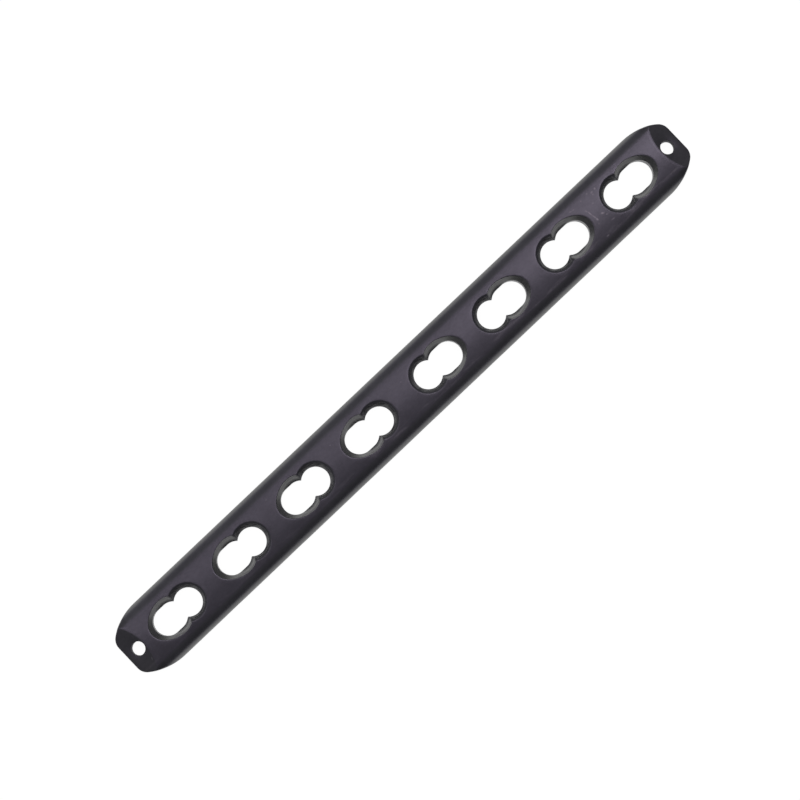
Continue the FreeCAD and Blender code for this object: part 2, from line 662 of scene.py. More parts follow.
    def locking_wall(self, share: float) -> tuple[Row, Vector]:
        """Wall of a locking column.

        Args:
            share: 0 at the ridge and 1 at the end towards the middle of the plate.

        Returns:
            The wall's points up to the start of the rim's round, and the rim's sharp corner.
        """
        upper = self.steps.upper_wall
        top = self.mouth(self.turned(share, self.mouth_ridges[0]), 0.0).z
        heights = [(z, z) for z in self.lower_heights(self.seat_edge)]
        for i in range(1, upper + 1):
            level = mix(self.seat_edge, self.mouth_ridges[0].z, i / upper)
            heights.append((mix(self.seat_edge, top, i / upper), level))
        points = []
        for z, level in heights:
            angle, radius = self.turned(share, self.ridge(level)), self.locking.radius(z)
            points.append(Vector((radius * math.cos(angle), abs(radius * math.sin(angle)), z)))
        slant = [
            self.mouth(self.turned(share, ridge), i / self.steps.mouth)
            for i, ridge in enumerate(self.mouth_ridges)
        ]
        corner = slant.pop()
        run = corner - slant[-1]
        size = min(self.rim_break, run.length * self.break_share)
        slant.append(corner - run.normalized() * size)
        return points + slant[1:], corner

    def rim_point(self, angle: float) -> Vector:
        """Sharp rim of the seat.

        Args:
            angle: Angle about the seat's centre.

        Returns:
            The point, measured from the locking centre.
        """
        centre = self.compression.seat_centre
        reach = self.compression.seat_radius / math.sin(math.radians(self.compression.glide_angle))

        def gap(distance: float) -> float:
            """How far the seat stands above the back at a distance from its centre."""
            y = distance * math.sin(angle)
            return self.seat(centre + distance * math.cos(angle), y) - self.section.back(y)

        distance = bisect(gap, self.compression.throat_radius / 2, reach)
        u = centre + distance * math.cos(angle)
        y = distance * abs(math.sin(angle))
        return Vector((u, y, self.section.back(y)))

    def slot_wall(self, share: float) -> tuple[Row, Vector]:
        """Wall of a compression column.

        Args:
            share: 0 at the ridge and 1 at the end towards the tip.

        Returns:
            The wall's points up to the start of the rim's round, and the rim's sharp corner.
        """
        end = self.compression
        centre = end.seat_centre
        levels = self.lower_heights(self.seat_edge)
        points = []
        for level in levels:
            ridge = self.ridge_below(level)
            start = math.atan2(ridge.y, ridge.x - end.slot_centre)
            place = end.throat(start, share)
            top = self.seat(place.x, place.y)
            reach = (level - levels[0]) / (levels[-1] - levels[0])
            points.append(Vector((place.x, place.y, mix(self.edge_break, top, reach))))
        edge = points[-1]
        notch, turn = self.notch, math.atan2(edge.y, edge.x - centre)
        foot = self.ridge(self.seat_edge)
        widest = math.atan2(foot.y, foot.x - centre)
        shift = widest - math.atan2(notch.y, notch.x - centre)
        corner = self.rim_point(max(turn - shift * (turn / widest) ** self.rim_fade, 0.0))
        samples = self.steps.glide
        path = [edge + (corner - edge) * (i / samples) for i in range(samples + 1)]
        path = [Vector((p.x, p.y, self.seat(p.x, p.y))) for p in path[:-1]] + [corner]
        runs = [0.0]
        for before, after in zip(path, path[1:]):
            runs.append(runs[-1] + (after - before).length)
        last = runs[-1] - self.rim_break
        count = self.steps.upper_wall + self.steps.mouth
        for step in range(1, count + 1):
            want = last * step / count
            i = max(k for k in range(samples) if runs[k] <= want)
            inside = (want - runs[i]) / (runs[i + 1] - runs[i])
            points.append(path[i].lerp(path[i + 1], inside))
        return points, corner

    def outer_lip(self, corner: Vector) -> float:
        """Reach of the rim's round over the back, which is softer at the compression end."""
        return mix(self.rim_break, self.end_lip, smooth((corner.x - self.lip_start) / self.lip_run))

    def roll(self, corner: Vector) -> float:
        """How far the rim rolls down at a corner, which is most beside the hole's long sides."""
        return self.roll_depth * smooth(corner.y / self.compression.seat_radius)

    def rolled_back(self, spot: Vector, corner: Vector) -> Vector:
        """The point of the back at a plan place, a little lower close to the rim's corner.

        Args:
            spot: The place.
            corner: The rim's corner.

        Returns:
            The point.
        """
        distance = math.hypot(spot.x - corner.x, spot.y - corner.y)
        sag = self.roll(corner) * max(1 - distance / self.roll_reach, 0.0) ** 2
        return Vector((spot.x, spot.y, self.section.back(spot.y) - sag))

    def column(self, wall: Row, corner: Vector, border: Vector, pad: Vector) -> Row:
        """Join a wall to the underside and to the back.

        Args:
            wall: The wall's points from the underside's edge break upwards.
            corner: The rim's sharp corner.
            border: Where the column ends on the cell's border on the back.
            pad: Where the column ends on the border of the pad underneath.

        Returns:
            The points from the pad's border underneath, up the wall and out over the back.
        """
        foot = Vector((wall[0].x, wall[0].y, 0))
        outward = (pad - foot).normalized()
        under = foot + outward * self.edge_break
        steps = self.steps
        points = [pad.lerp(under, i / steps.pad) for i in range(steps.pad)]
        points += [under] + curved_corner(under, foot, wall[0], steps.lip - 1) + wall[1:]
        plan_corner = Vector((corner.x, corner.y, 0))
        away = (Vector((border.x, border.y, 0)) - plan_corner).normalized()
        landing = self.rolled_back(plan_corner + away * self.outer_lip(corner), corner)
        lowered = corner - Vector((0, 0, self.roll(corner)))
        points += curved_corner(wall[-1], lowered, landing, steps.lip)
        for i in range(1, steps.back + 1):
            spot = landing.lerp(border, (i / steps.back) ** self.crowding)
            points.append(self.rolled_back(spot, corner))
        return points

    def border(self, inner: float, reach: float, outers: Sequence[float]) -> Row:
        """Spread the columns' far ends over a border round the hole.

        Args:
            inner: Place of the border's end towards the middle, from the locking centre.
            reach: Half of its width.
            outers: Places of its end towards the tip, from its corner to the centre line.

        Returns:
            One plan point for each column, from the inner end round to the outer end.
        """
        steps, waist, outer = self.steps, self.notch.x, outers[0]
        ends = len(outers) - 1
        sides = steps.locking_columns - ends
        points = [Vector((inner, reach * i / ends, 0)) for i in range(ends)]
        points += [Vector((mix(inner, waist, i / sides), reach, 0)) for i in range(sides)]
        sides = steps.slot_columns - ends
        points += [Vector((mix(waist, outer, i / sides), reach, 0)) for i in range(sides)]
        points += [Vector((x, reach * (1 - i / ends), 0)) for i, x in enumerate(outers)]
        return points

    def columns(self, back_border: Row, pad_border: Row) -> Rows:
        """All columns of the hole's upper half.

        Args:
            back_border: Where they end on the back.
            pad_border: Where they end underneath.

        Returns:
            The columns, from the hole's inner end round to its outer end.
        """
        steps = self.steps
        walls = [
            self.locking_wall(1 - i / steps.locking_columns)
            for i in range(steps.locking_columns + 1)
        ]
        walls += [
            self.slot_wall((i + 1) / steps.slot_columns) for i in range(steps.slot_columns)
        ]
        return [
            self.column(wall, corner, border, pad)
            for (wall, corner), border, pad in zip(walls, back_border, pad_border)
        ]


@dataclass(frozen=True)
class Underside:
    """Side of the plate that lies on the bone: flat pads with channels between the holes."""

    relief_depth: float = 0.8
    relief_to_hole: float = 0.18
    edge_break: float = 0.3
    channel_edge: float = 0.1
    channel_steps: int = 14

    def depth(self, start: float, end: float, x: float) -> float:
        """Height of a channel's roof at a place along the plate.

        Args:
            start: Where the channel starts.
            end: Where it ends.
            x: The place.

        Returns:
            The roof's height above the pads.
        """
        span = (end - start) / 2
        radius = (span**2 + self.relief_depth**2) / (2 * self.relief_depth)
        offset = x - (start + end) / 2
        return max(self.relief_depth - radius + math.sqrt(radius**2 - offset**2), 0.0)

    def edge(self, roof: float) -> float:
        """How much of the side's lower edge is broken where the roof has a height."""
        return mix(self.edge_break, self.channel_edge, smooth(roof / self.relief_depth))


@dataclass(frozen=True)
class WireHole:
    """Small round hole in a nose, from the facet down to the underside."""

    centre: float = 53.9
    radius: float = 1.075
    edge_break: float = 0.06
    columns: int = 36
    rows: int = 3

    def spot(self, angle: float, radius: float, z: float) -> Vector:
        """Point at an angle, a radius and a height about the hole's axis."""
        across = abs(radius * math.sin(angle))
        return Vector((self.centre + radius * math.cos(angle), across, z))

    @property
    def angles(self) -> list[float]:
        """Angles of the columns, from the inner end to the tip."""
        return [math.pi * (1 - i / self.columns) for i in range(self.columns + 1)]

    def rings(self, section: Section) -> Rows:
        """Rings of the hole's upper half.

        Args:
            section: Upper side of the plate.

        Returns:
            The rings, from the underside up to the facet.
        """
        columns: Rows = []
        for angle in self.angles:
            outer = self.spot(angle, self.radius + self.edge_break, 0.0)
            foot = self.spot(angle, self.radius, 0.0)
            lift = Vector((0, 0, self.edge_break))
            column = [outer] + curved_corner(outer, foot, foot + lift, self.rows)
            rim = self.spot(angle, self.radius, 0.0)
            rim.z = section.facet(rim.x)
            start, end = foot + lift, rim - lift
            column += [start.lerp(end, (i + 1) / self.rows) for i in range(self.rows)]
            landing = self.spot(angle, self.radius + self.edge_break, 0.0)
            landing.z = section.facet(landing.x)
            column += curved_corner(end, rim, landing, self.rows)
            columns.append(column)
        return [list(ring) for ring in zip(*columns)]

    def placed(self, points: Row) -> Placed:
        """Points with numbers that rise round the hole from its inner end to the tip."""
        return [(point, -math.atan2(point.y, point.x - self.centre)) for point in points]


@dataclass
class BonePlate:
    """The plate's surface, made of holes, bands along the sides, noses and the underside.

    Args:
        outline: Its plan outline.
        section: Its upper side.
        locking: The round ends of its holes.
        compression: Their long ends.
        underside: Its side that lies on the bone.
        wire_hole: The small hole in each nose.
        steps: How finely it is divided.
        holes_per_half: Holes on each side of its middle.
        hole_pitch: Distance from one hole to the next.
        first_locking_centre: Place of the locking end next to the middle.
        shoulder_rows: Rows over a shoulder.
        rounding_rows: Rows over the rounded upper edge.
        arc_edge_radius: Radius of that edge on the nose arcs.
        facet_edge_radius: Its radius round the facets.
        edge_change: Where it goes from one to the other, from the crease along the outline.
        least_rounding: Least depth at which that edge starts inside the outline.
        slope_step: Step over which the fall of the upper side is measured.
        band_bend: How far before the nose the shoulder's columns start to bend.
        crease_support: Width of the narrow strip round a facet that keeps its crease crisp.
        thread_fade: Distance from the ridge over which the thread grows to its full depth.
        wall_match: How far off the tapered wall a point may lie and still be threaded.
        sharp_angle: Angle in degrees above which an edge is shaded as sharp.
    """

    outline: Outline = Outline()
    section: Section = Section()
    locking: LockingEnd = LockingEnd()
    compression: CompressionEnd = CompressionEnd()
    underside: Underside = Underside()
    wire_hole: WireHole = WireHole()
    steps: Steps = Steps()
    holes_per_half: int = 4
    hole_pitch: float = 13.0
    first_locking_centre: float = 5.0
    shoulder_rows: int = 9
    rounding_rows: int = 5
    arc_edge_radius: float = 0.5
    facet_edge_radius: float = 0.18
    edge_change: Span = (-1.0, 0.2)
    least_rounding: float = 0.02
    slope_step: float = 1e-4
    band_bend: float = 1.0
    crease_support: float = 0.12
    thread_fade: float = 0.5
    wall_match: float = 1e-3
    sharp_angle: float = 34.0

    @cached_property
    def locking_centres(self) -> list[float]:
        """Place the round ends along the right half.

        Returns:
            Their centres.
        """
        return [
            self.first_locking_centre + i * self.hole_pitch for i in range(self.holes_per_half)
        ]

    @cached_property
    def hole(self) -> CombinationHole:
        """The combination hole that is repeated along the plate."""
        return CombinationHole(self.section, self.locking, self.compression, self.steps)

    @property
    def pad_inner(self) -> float:
        """Where a pad starts, from its hole's locking centre."""
        return -self.locking.throat_radius - self.underside.relief_to_hole

    @property
    def pad_outer(self) -> float:
        """Find where a pad ends.

        Returns:
            The distance from its hole's locking centre.
        """
        end = self.compression
        reach = end.slot_centre + end.slot_travel + end.throat_radius
        return reach + self.underside.relief_to_hole

    @property
    def pad_reach(self) -> float:
        """Half width of the flat part of a pad."""
        return self.section.half_width - self.underside.edge_break

    @cached_property
    def pad_border(self) -> Row:
        """Border of a pad under the straight stretch, from its hole's locking centre."""
        outers = [self.pad_outer] * (self.steps.pad_end_columns + 1)
        return self.hole.border(self.pad_inner, self.pad_reach, outers)

    def edge_radius(self, along: float) -> float:
        """Radius that rounds the upper edge.

        Args:
            along: Distance along the outline.

        Returns:
            The radius.
        """
        start, end = self.edge_change
        change = smooth((along - self.crease_station - start) / (end - start))
        return mix(self.arc_edge_radius, self.facet_edge_radius, change)

    def fall(self, station: Station, depth: float) -> float:
        """How fast the upper side falls outwards.

        Args:
            station: The place on the outline.
            depth: Depth inside it.

        Returns:
            The slope.
        """
        inner = station.inside(depth + self.slope_step)
        outer = station.inside(depth)
        drop = self.section.height(inner.x, inner.y) - self.section.height(outer.x, outer.y)
        return drop / self.slope_step

    def rounding(self, station: Station) -> float:
        """Depth inside the outline at which the upper edge starts to round off.

        Args:
            station: The place on the outline.

        Returns:
            The depth.
        """
        radius = self.edge_radius(station.along)
        slope = math.atan(self.fall(station, self.least_rounding))
        depth = radius * math.tan((math.pi / 2 - slope) / 2) * math.cos(slope)
        return max(depth, self.least_rounding)

    @cached_property
    def crease_station(self) -> float:
        """Find where the facet's crease meets the rounded edge.

        Returns:
            The distance along the outline.
        """
        depth = self.facet_edge_radius

        def gap(along: float) -> float:
            """How far the rounded edge's start lies past the crease."""
            spot = self.outline.at(along).inside(depth)
            return spot.x - self.section.crease(spot.y)

        return bisect(gap, self.outline.nose_start, self.outline.arc_end)

    def rounded_edge(self, station: Station, depth: float) -> Row:
        """Points over the upper edge.

        Args:
            station: The place on the outline.
            depth: How far inside the outline the rounding starts.

        Returns:
            The points after the rounding's start, down to its end on the upright wall.
        """
        spot = station.inside(depth)
        start = Vector((spot.x, spot.y, self.section.height(spot.x, spot.y)))
        slope = self.fall(station, depth)
        corner = Vector((station.point.x, station.point.y, start.z - depth * slope))
        leg = (corner - start).length
        return curved_corner(start, corner, corner - Vector((0, 0, leg)), self.rounding_rows)

    def band(self, borders: Row) -> tuple[Rows, list[Station]]:
        """Shoulder band between the crown and the side.

        Args:
            borders: The crown's outer points along the quarter, from the middle to the crease.

        Returns:
            The band's columns, and the station at which each of them ends.
        """
        crease = self.crease_station
        bend = self.outline.nose_start - self.band_bend
        last = borders[-1].x
        centre_y, _ = self.section.shoulder_centre
        columns, stations = [], []
        for point in borders:
            share = max((point.x - bend) / (last - bend), 0.0)
            along = point.x if share == 0 else mix(point.x, crease - (last - point.x), share)
            station = self.outline.at(along)
            on_crease = point is borders[-1]
            depth = self.facet_edge_radius if on_crease else self.rounding(station)
            spot = station.inside(depth)
            low = math.asin((self.section.crown_reach - centre_y) / self.section.shoulder_radius)
            high = math.asin((spot.y - centre_y) / self.section.shoulder_radius)
            column = []
            for i in range(self.shoulder_rows + 1):
                angle = mix(low, high, i / self.shoulder_rows)
                y = centre_y + self.section.shoulder_radius * math.sin(angle)
                x = mix(point.x, spot.x, (y - point.y) / (spot.y - point.y))
                x = self.section.crease(y) if on_crease else x
                column.append(Vector((x, y, self.section.back(y))))
            columns.append(column + self.rounded_edge(station, depth))
            stations.append(station)
        return columns, stations

    def bent_pad_border(self, centre: float) -> Row:
        """Bend a pad's border in to the plan outline where the nose narrows it.

        Args:
            centre: Place of the hole's locking centre along the plate.

        Returns:
            The points, measured from the locking centre.
        """
        points = []
        for point in self.pad_border:
            along, share = centre + point.x, point.y / self.pad_reach
            edge = self.outline.at(along).inside(self.underside.edge_break)
            points.append(Vector((mix(along, edge.x, share) - centre, edge.y * share, 0)))
        return points

    def outer_ends(self, centre: float) -> list[float]:
        """Places where a hole's stretch of back ends, which is the crease at the last hole.

        Args:
            centre: Place of the hole's locking centre along the plate.

        Returns:
            The places from the crown's edge in to the centre line, from the locking centre.
        """
        ends = self.steps.end_columns
        if centre != self.locking_centres[-1]:
            return [self.hole_pitch - self.first_locking_centre] * (ends + 1)
        reach = self.section.crown_reach
        return [self.section.crease(reach * (1 - i / ends)) - centre for i in range(ends + 1)]

    def lay_holes(self, surface: Surface) -> tuple[Row, Row]:
        """Lay the holes with their stretch of back and their pads.

        Args:
            surface: The quarter's surface.

        Returns:
            The crown's outer points and the crease's points across the crown.
        """
        inner, ends = -self.first_locking_centre, self.steps.end_columns
        reach = self.section.crown_reach
        sides: Row = []
        rim: Row = []
        for centre in self.locking_centres:
            back = self.hole.border(inner, reach, self.outer_ends(centre))
            columns = self.hole.columns(back, self.bent_pad_border(centre))
            place = Vector((centre, 0, 0))
            columns = [[point + place for point in column] for column in columns]
            surface.grid(columns)
            rim = [column[-1] for column in columns]
            along = rim[ends:len(rim) - ends]
            sides += along[1:] if sides else along
        return sides, rim[len(rim) - ends - 1:][::-1]

    def lay_nose(self, surface: Surface, crease: Row, corner: Row) -> Placed:
        """Lay the facet, the wire hole and the rounded edge of the nose.

        Args:
            surface: The quarter's surface.
            crease: The crease's points across the crown, from the centre line outwards.
            corner: The band's column along the crease, down to the side.

        Returns:
            The points where the rounded edge ends on the side, each with its distance along.
        """
        stations = self.outline.past(self.crease_station, self.steps.nose)[1:]
        columns = []
        for station in stations:
            depth = self.rounding(station)
            spot = station.inside(depth)
            spot.z = self.section.facet(spot.x)
            columns.append([spot] + self.rounded_edge(station, depth))
        edge = corner[self.shoulder_rows:]
        surface.grid([edge] + columns)
        border = crease + corner[1:self.shoulder_rows + 1] + [column[0] for column in columns]
        support = []
        for point in border:
            spot = Vector((point.x, point.y, 0))
            away = Vector((self.wire_hole.centre, 0, 0)) - spot
            gap = away.length - self.wire_hole.radius - self.wire_hole.edge_break
            spot += away.normalized() * min(self.crease_support, gap / 2)
            spot.z = self.section.facet(spot.x)
            support.append(spot)
        surface.grid([border, support])
        rings = self.wire_hole.rings(self.section)
        surface.grid(rings)
        surface.stitch(self.wire_hole.placed(support), self.wire_hole.placed(rings[-1]))
        return [(column[-1], station.along) for column, station in zip(columns, stations)]

    def lower_edge(self, station: Station, roof: float) -> Row:
        """Round the side's lower edge.

        Args:
            station: The place on the outline.
            roof: Height of the underside there.

        Returns:
            The points from the underside up to the side.
        """
        size = self.underside.edge(roof)
        start = station.inside(size) + Vector((0, 0, roof))
        corner = station.point + Vector((0, 0, roof))
        end = corner + Vector((0, 0, size))
        return [start] + curved_corner(start, corner, end, self.steps.lip)

    def channel(self, start: float, end: float) -> Rows:
        """Columns across one channel of the underside, or its half right of the plate's middle.

        Args:
            start: Where the channel starts.
            end: Where it ends.

        Returns:
            The columns, each from the centre line out and up to the side.
        """
        count, ends = self.underside.channel_steps, self.steps.pad_end_columns
        columns = []
        for i in range(count + 1):
            x = mix(max(start, 0.0), end, i / count)
            roof = self.underside.depth(start, end, x)
            edge = self.lower_edge(self.outline.at(x), roof)
            column = [Vector((x, edge[0].y * k / ends, roof)) for k in range(ends)]
            columns.append(column + edge)
        return columns

    def lay_underside(self, surface: Surface) -> Placed:
        """Lay the channels, the pads' edges and the nose's underside.

        Args:
            surface: The quarter's surface.

        Returns:
            The points where the broken edge ends on the side, each with its distance along.
        """
        ends = self.steps.pad_end_columns
        side = self.pad_border[ends:len(self.pad_border) - ends]
        lower: Placed = []
        start = -self.locking_centres[0] - self.pad_inner
        for centre in self.locking_centres:
            columns = self.channel(start, centre + self.pad_inner)
            edges = [self.lower_edge(self.outline.at(centre + point.x), 0.0) for point in side]
            for patch in (columns, edges):
                surface.grid(patch)
                lower += [(column[-1], column[-1].x) for column in patch]
            start = centre + self.pad_outer
        stations = self.outline.past(start, self.steps.nose_underside)
        edges = [self.lower_edge(station, 0.0) for station in stations]
        surface.grid(edges)
        lower += [(edge[-1], station.along) for edge, station in zip(edges, stations)]
        last = Vector((self.locking_centres[-1], 0, 0))
        rim = [point + last for point in self.bent_pad_border(last.x)[-ends:][::-1]]
        rim += [edge[0] for edge in edges]
        ring = self.wire_hole.rings(self.section)[0]
        surface.stitch(self.wire_hole.placed(rim), self.wire_hole.placed(ring))
        return lower

    def quarter(self) -> Surface:
        """Lay the quarter with positive X and Y.

        Returns:
            Its surface.
        """
        surface = Surface()
        sides, crease = self.lay_holes(surface)
        columns, stations = self.band(sides)
        surface.grid(columns)
        upper = [(column[-1], station.along) for column, station in zip(columns, stations)]
        upper += self.lay_nose(surface, crease, columns[-1])
        lower = self.lay_underside(surface)
        surface.stitch(upper, lower)
        return surface

    def threaded(self, point: Vector) -> Vector:
        """Move a point of a locking wall out to the floor of its thread.

        Args:
            point: The point.

        Returns:
            Its new place, or the same one off those walls.
        """
        for half in Half:
            for centre in self.locking_centres:
                axis = Vector((centre * half.value, 0, point.z))
                away = point - axis
                if abs(away.length - self.locking.radius(point.z)) > self.wall_match:
                    continue
                from_ridge = self.hole.ridge(point.z).x - away.x * half.value
                groove = self.locking.groove(math.atan2(away.y, away.x), point.z)
                return point + away.normalized() * groove * smooth(from_ridge / self.thread_fade)
        return point

    def mesh(self, name: str) -> bpy.types.Mesh:
        """Make the whole plate's mesh.

        Args:
            name: The mesh's name.

        Returns:
            A closed mesh in metres, smooth except at its sharp edges.
        """
        whole = self.quarter().mirrored()
        low, high = self.locking.land_height, self.locking.thread_top
        widest = self.locking.radius(high) + self.wall_match
        shaped = []
        for point in whole.points:
            near = abs(point.y) < widest and low < point.z < high
            shaped.append((self.threaded(point) if near else point) * MILLIMETRE)
        mesh = bpy.data.meshes.new(name)
        mesh.from_pydata(shaped, [], whole.faces)
        cleaned = bmesh.new()
        cleaned.from_mesh(mesh)
        bmesh.ops.recalc_face_normals(cleaned, faces=cleaned.faces)
        limit = math.radians(self.sharp_angle)
        for face in cleaned.faces:
            face.smooth = True
        for edge in cleaned.edges:
            edge.smooth = not (edge.is_manifold and edge.calc_face_angle() > limit)
        loose = sum(1 for edge in cleaned.edges if not edge.is_manifold)
        LOG.info("open edges in %s: %d", name, loose)
        cleaned.to_mesh(mesh)
        cleaned.free()
        return mesh

    def build(self, finish: "AnodisedTitanium") -> bpy.types.Object:
        """Make the plate, dress it and let it stand for its solid.

        Args:
            finish: The plate's finish.

        Returns:
            The new object.
        """
        plate = bpy.data.objects.new("milled_plate", self.mesh("milled_plate"))
        bpy.context.scene.collection.objects.link(plate)
        plate.data.materials.append(finish.material())
        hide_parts("bone_plate")
        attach(plate, "root")
        return plate


@dataclass(frozen=True)
class Noise:
    """Soft noise in a finish.

    Args:
        waves: How many waves a metre holds in each direction.
        detail: How many finer layers it has.
    """

    waves: Place
    detail: float


class NodeSheet:
    """A material's node tree, with short calls for the nodes that the finishes need."""

    def __init__(self, name: str) -> None:
        """Start an empty sheet.

        Args:
            name: Name of the new material.
        """
        self.material = bpy.data.materials.new(name)
        self.material.use_nodes = True
        self.tree = self.material.node_tree
        self.tree.nodes.clear()

    def fill(self, socket: bpy.types.NodeSocket, value: Any) -> None:
        """Link an input socket to an output socket, or set its value.

        Args:
            socket: The input socket.
            value: The output socket or the value.
        """
        if isinstance(value, bpy.types.NodeSocket):
            self.tree.links.new(value, socket)
        else:
            socket.default_value = value

    def add(self, kind: str, **inputs: Any) -> bpy.types.Node:
        """Add a node and fill its sockets.

        Args:
            kind: The node's type, without its leading ShaderNode.
            inputs: A value or an output socket for each named input, with _ for a space.

        Returns:
            The node.
        """
        node = self.tree.nodes.new("ShaderNode" + kind)
        for name, value in inputs.items():
            self.fill(node.inputs[name.replace("_", " ")], value)
        return node

    def maths(self, operation: str, first: Any, second: Any = 0.0) -> bpy.types.NodeSocket:
        """Work out a number.

        Args:
            operation: The Math node's operation.
            first: The first number or socket.
            second: The second number or socket, where the operation has one.

        Returns:
            The socket of the result.
        """
        node = self.tree.nodes.new("ShaderNodeMath")
        node.operation = operation
        self.fill(node.inputs[0], first)
        self.fill(node.inputs[1], second)
        return node.outputs["Value"]

    def product(self, *factors: Any) -> bpy.types.NodeSocket:
        """The product of numbers or sockets."""
        return reduce(partial(self.maths, "MULTIPLY"), factors)

    def total(self, *terms: Any) -> bpy.types.NodeSocket:
        """The sum of numbers or sockets."""
        return reduce(partial(self.maths, "ADD"), terms)

    def ramp(
        self, value: Any, low: float, high: float, start: float = 0.0, end: float = 1.0
    ) -> bpy.types.NodeSocket:
        """Carry a number softly from one range to another.

        Args:
            value: The number.
            low: Where the change starts.
            high: Where the change ends.
            start: The result up to low.
            end: The result from high on.

        Returns:
            The socket of the result.
        """
        node = self.tree.nodes.new("ShaderNodeMapRange")
        node.interpolation_type = "SMOOTHSTEP"
        self.fill(node.inputs["Value"], value)
        limits = {"From Min": low, "From Max": high, "To Min": start, "To Max": end}
        for name, number in limits.items():
            node.inputs[name].default_value = number
        return node.outputs["Result"]

    def noise(self, place: Any, kind: Noise) -> bpy.types.NodeSocket:
        """Soft noise from 0 to 1 at a place in metres."""
        stretched = self.add("Mapping", Vector=place, Scale=kind.waves).outputs["Vector"]
        return self.add("TexNoise", Vector=stretched, Scale=1.0, Detail=kind.detail).outputs["Fac"]

    def part(self, vector: Any, axis: str) -> bpy.types.NodeSocket:
        """Part of a vector along X, Y or Z."""
        return self.add("SeparateXYZ", Vector=vector).outputs[axis]

    def distance(self, vector: Any, axis: str) -> bpy.types.NodeSocket:
        """Part of a vector along X, Y or Z, without its sign."""
        return self.maths("ABSOLUTE", self.part(vector, axis))

    def blend(self, share: Any, first: Any, second: Any, how: str = "MIX") -> bpy.types.NodeSocket:
        """Blend two colours.

        Args:
            share: How much the second colour counts.
            first: The first colour or socket.
            second: The second colour or socket.
            how: The Mix node's way of blending.

        Returns:
            The socket of the result.
        """
        node = self.tree.nodes.new("ShaderNodeMix")
        node.data_type = "RGBA"
        node.blend_type = how
        sockets = [socket for socket in node.inputs if socket.type == "RGBA"]
        self.fill(node.inputs["Factor"], share)
        self.fill(sockets[0], first)
        self.fill(sockets[1], second)
        return next(socket for socket in node.outputs if socket.type == "RGBA")

    def finish(self, shader: bpy.types.Node) -> bpy.types.Material:
        """Show a shader as the material's surface.

        Args:
            shader: The shader's node.

        Returns:
            The material.
        """
        output = self.tree.nodes.new("ShaderNodeOutputMaterial")
        self.tree.links.new(shader.outputs[0], output.inputs["Surface"])
        return self.material


@dataclass(frozen=True)
class Scuff:
    """Short pale rub mark on the back, in millimetres.

    Args:
        x: Its middle along the plate.
        y: Its middle across the plate.
        reach: Half of its length.
        width: Half of its width.
        turn: Angle of its length against the plate's, in degrees.
        strength: How much of the pale tint its middle takes.
        core: Share of the way in from its rim at which it is at full strength.
    """

    x: float
    y: float
    reach: float
    width: float
    turn: float
    strength: float
    core: float = 0.8

    def mask(self, sheet: NodeSheet, place: Any) -> bpy.types.NodeSocket:
        """Draw the mark's soft oval.

        Args:
            sheet: The finish's node sheet.
            place: Socket of the place on the object, in metres.

        Returns:
            The socket of the mark's strength at each place.
        """
        oval = sheet.add(
            "Mapping",
            Vector=place,
            Location=(self.x * MILLIMETRE, self.y * MILLIMETRE, 0.0),
            Rotation=(0.0, 0.0, math.radians(self.turn)),
            Scale=(self.reach * MILLIMETRE, self.width * MILLIMETRE, 1.0),
        )
        oval.vector_type = "TEXTURE"
        fade = sheet.add("TexGradient", Vector=oval.outputs["Vector"])
        fade.gradient_type = "SPHERICAL"
        return sheet.product(sheet.ramp(fade.outputs["Fac"], 0.0, self.core), self.strength)


@dataclass(frozen=True)
class RubbedBand:
    """Streaky pale band where the lower shoulder is rubbed.

    Args:
        lower: Places across the plate, in metres, between which it fades in.
        upper: Places between which it fades out.
        along: Places along the plate between which it grows, and how strong it is there.
        streaks: The noise that breaks it up.
        gaps: Values of that noise between which the streaks start.
        strength: How much of the pale tint it takes at most.
    """

    lower: Span = (-0.00385, -0.0035)
    upper: Span = (-0.00325, -0.0028, 1.0, 0.0)
    along: Span = (-0.022, -0.006, 0.35, 1.0)
    streaks: Noise = Noise((260.0, 1500.0, 400.0), 2.0)
    gaps: Span = (0.46, 0.7)
    strength: float = 0.22

    def mask(self, sheet: NodeSheet, place: Any) -> bpy.types.NodeSocket:
        """Draw the band.

        Args:
            sheet: The finish's node sheet.
            place: Socket of the place on the object, in metres.

        Returns:
            The socket of the band's strength at each place.
        """
        across = sheet.part(place, "Y")
        return sheet.product(
            sheet.ramp(across, *self.lower),
            sheet.ramp(across, *self.upper),
            sheet.ramp(sheet.part(place, "X"), *self.along),
            sheet.ramp(sheet.noise(place, self.streaks), *self.gaps),
            self.strength,
        )


